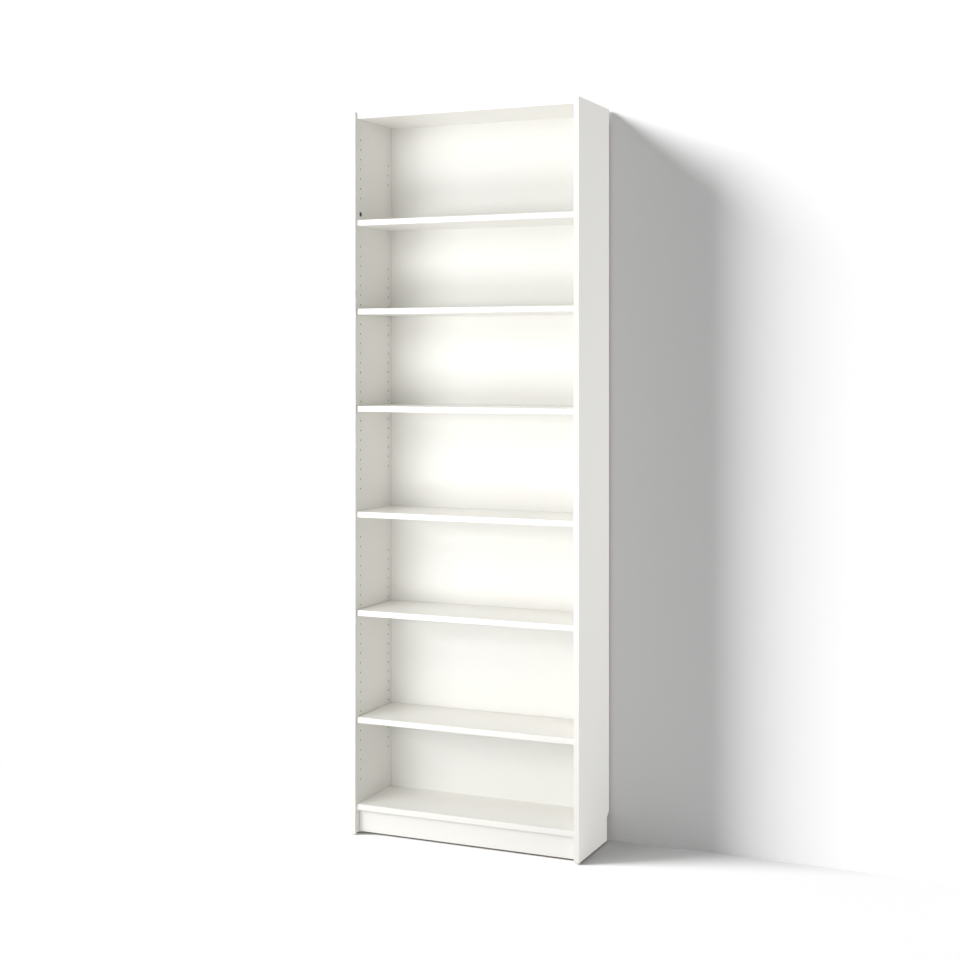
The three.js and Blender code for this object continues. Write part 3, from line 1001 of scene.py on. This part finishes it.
def pinShape():
    profile = rodProfile(pin["radius"], pin["chamfer"], pin["depth"], pin["reach"])
    half = pin["radius"] + overrun
    start, end = pin["shoulder"], pin["reach"] + overrun
    flat = pulled([(start, -half), (end, -half), (end, half), (start, half)], pin["flat"], half)
    return carved(turned(profile, roundSteps["turned"]), steelCoat, [flat])


# Glides under the sides: moulded pads on nails
glide = {
    "radius": 7 * mm,
    "inset": 30 * mm,
    "ease": 0.8 * mm,
    "nailRadius": 1.1 * mm,
    "nailLength": 12 * mm,
    "sharp": 40,
}


def glideShape():  # its foot at z = 0
    radius, ease = glide["radius"], glide["ease"]
    shank, shankEnd = glide["nailRadius"], glideHeight + glide["nailLength"]
    profile = [(0, 0), (0, radius - 2 * ease), (ease, radius - ease / 2), (2 * ease, radius)]
    profile += [(glideHeight, radius), (glideHeight, shank)]
    profile += [(shankEnd, shank / 2), (shankEnd + shank, 0)]
    return moved(turned(profile, roundSteps["turned"]), cutUp)


# Nails through the backs into the boards' rear edges
nail = {
    "headRadius": 1.9 * mm,
    "dome": [(1, 0), (0.9, 0.5), (0.55, 0.85)],  # shares of its height and of its radius
    "proud": 0.5 * mm,
    "rim": 0.15 * mm,
    "shankRadius": 0.8 * mm,
    "length": 20 * mm,
    "tip": 2 * mm,
    "toRow": 8,
    "endInset": 28 * mm,
    "steps": 16,
    "sharp": 50,
}


def nailShape():  # its head on the face at x = 0, its shank along +X
    head, shank = nail["headRadius"], nail["shankRadius"]
    profile = [(-nail["proud"] * height, head * out) for height, out in nail["dome"]]
    profile += [(-nail["rim"], head), (0, head), (0, shank)]
    profile += [(nail["length"] - nail["tip"], shank), (nail["length"], 0)]
    return turned(profile, nail["steps"])


def nailRows(node, boards):
    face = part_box(node)[1].y
    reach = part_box(boards[0])[1].x - nail["endInset"]
    shape = nailShape()
    nails = []
    for name in boards:
        for place in range(nail["toRow"]):
            x = reach * (2 * place / (nail["toRow"] - 1) - 1)
            nails.append(moved(shape.copy(), standing((x, face, middleOf(name).z), (0, -1, 0))))
    shape.free()
    joined(node + "_nails", node, gathered(nails), steelCoat, nail["sharp"])


def placeCam(node, shape, *stand):  # stand: its place, and where its X and Z axes point
    fitted(node, moved(shape.copy(), standing(*stand)), zincCoat, cam["sharp"])


def placeBolt(node, shape, *stand):
    fitted(node, moved(shape.copy(), standing(*stand)), steelCoat, bolt["sharp"])


def placePeg(name, node, shape, *stand):  # a dowel that the CAD model has within a larger node
    joined(name, node, moved(shape.copy(), standing(*stand)), beechCoat)


def placeJoints():  # the cam lock, bolt and dowel at each end of each fixed board
    camBody, boltBody, dowelBody = camShape(boardThickness), boltShape(), dowelShape()
    for node, facing in camFaces.items():
        height = middleOf(node).z
        for name, hand in hands:
            at = middleOf(node + "_cam_" + name)
            inward = outOf(-hand)
            camPlace = (at.x, at.y, camFaceHeight(node))
            placeCam(node + "_cam_" + name, camBody, camPlace, outOf(hand), (0, 0, facing))
            placeBolt(node + "_bolt_" + name, boltBody, (hand * innerFace, at.y, height), inward)
            dowelNode = node + "_dowel_" + name
            atDowel = standing((hand * innerFace, middleOf(dowelNode).y, height), inward)
            fitted(dowelNode, moved(dowelBody.copy(), atDowel), beechCoat)
    for shape in (camBody, boltBody, dowelBody):
        shape.free()


def placeExtensionJoints():  # under the extension's sides, and the pegs in the plinth's ends
    camBody, boltBody, dowelBody = camShape(sideThickness), boltShape(), dowelShape()
    atPlinth = middleOf("plinth")
    up, down = (0, 0, 1), (0, 0, -1)
    for name, hand in hands:
        at = middleOf("extension_cam_" + name)
        inward = outOf(-hand)
        edgeX = hand * (innerFace + sideThickness / 2)
        placeCam("extension_cam_" + name, camBody, (hand * innerFace, at.y, at.z), down, inward)
        placeBolt("extension_bolt_" + name, boltBody, (edgeX, at.y, sideHigh.z), up, inward)
        upper = "upper_" + name + "_side"
        placePeg(upper + "_peg", upper, dowelBody, (edgeX, rearRowY, extensionFoot), up, inward)
        plinthEnd = (hand * plinth["length"] / 2, atPlinth.y, atPlinth.z)
        placePeg("plinth_peg_" + name, "plinth", dowelBody, plinthEnd, inward)
    for shape in (camBody, boltBody, dowelBody):
        shape.free()


def placePins():
    body = pinShape()
    for node in frame["nodes"]:
        if "_pin_" in node:
            hand = 1 if node.endswith("right") else -1
            at = middleOf(node)
            toPlace = standing((hand * innerFace, at.y, at.z), outOf(-hand))
            fitted(node, moved(body.copy(), toPlace), steelCoat, pin["sharp"])
    body.free()


def placeGlides():
    body = glideShape()
    rear = sideHigh.y - side["notchDepth"] - glide["inset"]
    for name, hand in hands:
        for end, y in [("front", sideLow.y + glide["inset"]), ("rear", rear)]:
            node = "lower_" + name + "_side"
            shape = shifted(body.copy(), hand * (innerFace + sideThickness / 2), y, 0)
            joined(node + "_glide_" + end, node, shape, nylonCoat, glide["sharp"])
    body.free()


placeJoints()
placeExtensionJoints()
placePins()
placeGlides()
nailRows("lower_back_panel", fixedBoards["lower"])
nailRows("upper_back_panel", fixedBoards["upper"])
print("fittings placed")


# Floor and wall, both white, and lit on their own by a sun that throws the soft shadow to the right
backdrop = {
    "floorColour": (0.515, 0.515, 0.515, 1),
    "floorGlow": 0.02,
    "fadeCentre": (0.8, 0, 0),  # the floor turns plain white away from here
    "fadeStart": 1,
    "fadeEnd": 2.6,
    "bounceColour": (0.34, 0.34, 0.34, 1),
    "wallColour": (0.66, 0.66, 0.66, 1),
    "wallGlow": 0.14,
    "reach": 14.0,
    "wallGap": 8 * mm,
}
ambience = {"strength": 0.31, "white": (1, 1, 1, 1)}
softboxes = {
    "left": {"place": (-1.8, -2.3, 1.6), "aim": (0, 0, 1.6), "width": 1.2, "height": 0.4, "power": 23},
    "middle": {"place": (-0.4, -1.95, 1), "aim": (0, 0, 1), "width": 1.2, "height": 0.4, "power": 7.5},
    "high": {"place": (-0.7, -2.4, 2.6), "aim": (0, 0, 2.6), "width": 1.2, "height": 0.9, "power": 16},
    "low": {"place": (-0.8, -2.25, 0.45), "aim": (0, 0, 0.45), "width": 1.2, "height": 0.4, "power": 11.5},
    "side": {"place": (4, 0.7, 1.1), "aim": (0, 0, 1.1), "width": 1.4, "height": 2, "power": 50},
    "overhead": {"place": (-1.8, -2.8, 6), "aim": (0, 0, 0.9), "width": 2, "height": 1.4, "power": 62},
}
shadowSun = {"azimuth": 62, "elevation": 26, "spread": 23, "strength": 8.7}


def flatSheet(name, corners, material):
    shape = bmesh.new()
    shape.faces.new([shape.verts.new(corner) for corner in corners])
    sheet = looseObject(name, shape, [material])
    return sheet


def seenDirectly(finish):  # two wires: 1 where a camera looks at it, and 1 where a mirror or glass does
    rays = finish.tree.nodes.new("ShaderNodeLightPath")
    kinds = ["Is Camera Ray", "Is Glossy Ray", "Is Transmission Ray"]
    byCamera, glossy, through = [Wire(finish, rays.outputs[kind]) for kind in kinds]
    return byCamera, glossy + through


def lifted(finish, colour, share):  # a matt colour with a share of white glow, to soften its shadows
    matt = finish.add("ShaderNodeBsdfDiffuse", {}, {"Color": colour})
    glow = finish.add("ShaderNodeEmission", {}, {"Strength": 1.0})
    return finish.add("ShaderNodeMixShader", {}, {"Fac": share, 1: matt, 2: glow})


def floorFinish():  # pale to the camera, white to mirrors, greyer for the light it throws back
    finish = newFinish("pale_floor")
    byCamera, byMirror = seenDirectly(finish)
    ends = {0: finish.place(), 1: backdrop["fadeCentre"]}
    away = finish.add("ShaderNodeVectorMath", {"operation": "DISTANCE"}, ends, "Value")
    start, end, glow = backdrop["fadeStart"], backdrop["fadeEnd"], backdrop["floorGlow"]
    fade = {"Value": away, "From Min": start, "From Max": end, "To Min": glow}
    whiter = finish.add("ShaderNodeMapRange", {"interpolation_type": "SMOOTHSTEP"}, fade)
    pale = lifted(finish, backdrop["floorColour"], whiter)
    greyer = finish.add("ShaderNodeBsdfDiffuse", {}, {"Color": backdrop["bounceColour"]})
    white = finish.add("ShaderNodeEmission", {}, {"Strength": 1.0})
    seen = finish.add("ShaderNodeMixShader", {}, {"Fac": byCamera, 1: greyer, 2: pale})
    finish.show(finish.add("ShaderNodeMixShader", {}, {"Fac": byMirror, 1: seen, 2: white}))
    return finish.owner


def wallFinish():  # only the camera sees it, from the front: it neither lights nor hides the piece
    finish = newFinish("pale_wall")
    byCamera = seenDirectly(finish)[0]
    behind = finish.add("ShaderNodeNewGeometry", output="Backfacing")
    pale = lifted(finish, backdrop["wallColour"], backdrop["wallGlow"])
    clear = finish.add("ShaderNodeBsdfTransparent")
    shown = byCamera * (1 - behind)
    finish.show(finish.add("ShaderNodeMixShader", {}, {"Fac": shown, 1: clear, 2: pale}))
    return finish.owner


def buildBackdrop():
    reach = backdrop["reach"]
    wallY = cadHigh.y + backdrop["wallGap"]
    floorCorners = [(-reach, -reach, 0), (reach, -reach, 0), (reach, reach, 0), (-reach, reach, 0)]
    wallCorners = [(-reach, wallY, 0), (reach, wallY, 0), (reach, wallY, reach), (-reach, wallY, reach)]
    floor = flatSheet("floor", floorCorners, floorFinish())
    wall = flatSheet("wall", wallCorners, wallFinish())
    return floor, wall


def lightWorld():
    world = bpy.data.worlds.new("studio")
    bpy.context.scene.world = world
    finish = Finish(world)
    byCamera, byMirror = seenDirectly(finish)
    light = {"Color": ambience["white"]}
    dim = finish.add("ShaderNodeBackground", {}, {**light, "Strength": ambience["strength"]})
    white = finish.add("ShaderNodeBackground", {}, {**light, "Strength": 1.0})
    finish.show(finish.add("ShaderNodeMixShader", {}, {"Fac": byCamera + byMirror, 1: dim, 2: white}))


def addSoftbox(name, softbox, unlit):
    lamp = bpy.data.lights.new(name, "AREA")
    lamp.shape = "RECTANGLE"
    lamp.size = softbox["width"]
    lamp.size_y = softbox["height"]
    lamp.energy = softbox["power"]
    stand = bpy.data.objects.new(name, lamp)
    stand.location = softbox["place"]
    ray = Vector(softbox["aim"]) - Vector(softbox["place"])
    stand.rotation_euler = ray.to_track_quat("-Z", "Y").to_euler()
    stand.visible_camera = False
    bpy.context.collection.objects.link(stand)
    receivers = bpy.data.collections.new(name + "_unlit")
    receivers.objects.link(unlit)
    receivers.collection_objects[0].light_linking.link_state = "EXCLUDE"
    stand.light_linking.receiver_collection = receivers


def addShadowSun(litSheets):
    azimuth = math.radians(shadowSun["azimuth"])
    elevation = math.radians(shadowSun["elevation"])
    level = math.cos(elevation)
    ray = Vector((math.sin(azimuth) * level, math.cos(azimuth) * level, -math.sin(elevation)))
    lamp = bpy.data.lights.new("shadow_sun", "SUN")
    lamp.angle = math.radians(shadowSun["spread"])
    lamp.energy = shadowSun["strength"]
    stand = bpy.data.objects.new("shadow_sun", lamp)
    stand.rotation_euler = ray.to_track_quat("-Z", "Y").to_euler()
    bpy.context.collection.objects.link(stand)
    lit = bpy.data.collections.new("backdrop")
    for sheet in litSheets:
        lit.objects.link(sheet)
    stand.light_linking.receiver_collection = lit


lightWorld()
floorSheet, wallSheet = buildBackdrop()
for name, softbox in softboxes.items():
    addSoftbox(name, softbox, wallSheet)
addShadowSun([floorSheet, wallSheet])
bpy.context.scene.view_settings.view_transform = "Standard"
print("backdrop and lights placed")


# Finishes of the CAD nodes that stay as they are
slotCoats = {
    "white_board": boardCoat,
    "white_back": backCoat,
    "zinc": zincCoat,
    "steel": steelCoat,
    "beech": beechCoat,
}
slotOfNode = {row["node"]: row["material_slot"] for row in frame["record"]["subparts"]}
for node, carrier in frame["nodes"].items():
    carrier.data.materials.clear()
    carrier.data.materials.append(slotCoats[slotOfNode[node]][0])
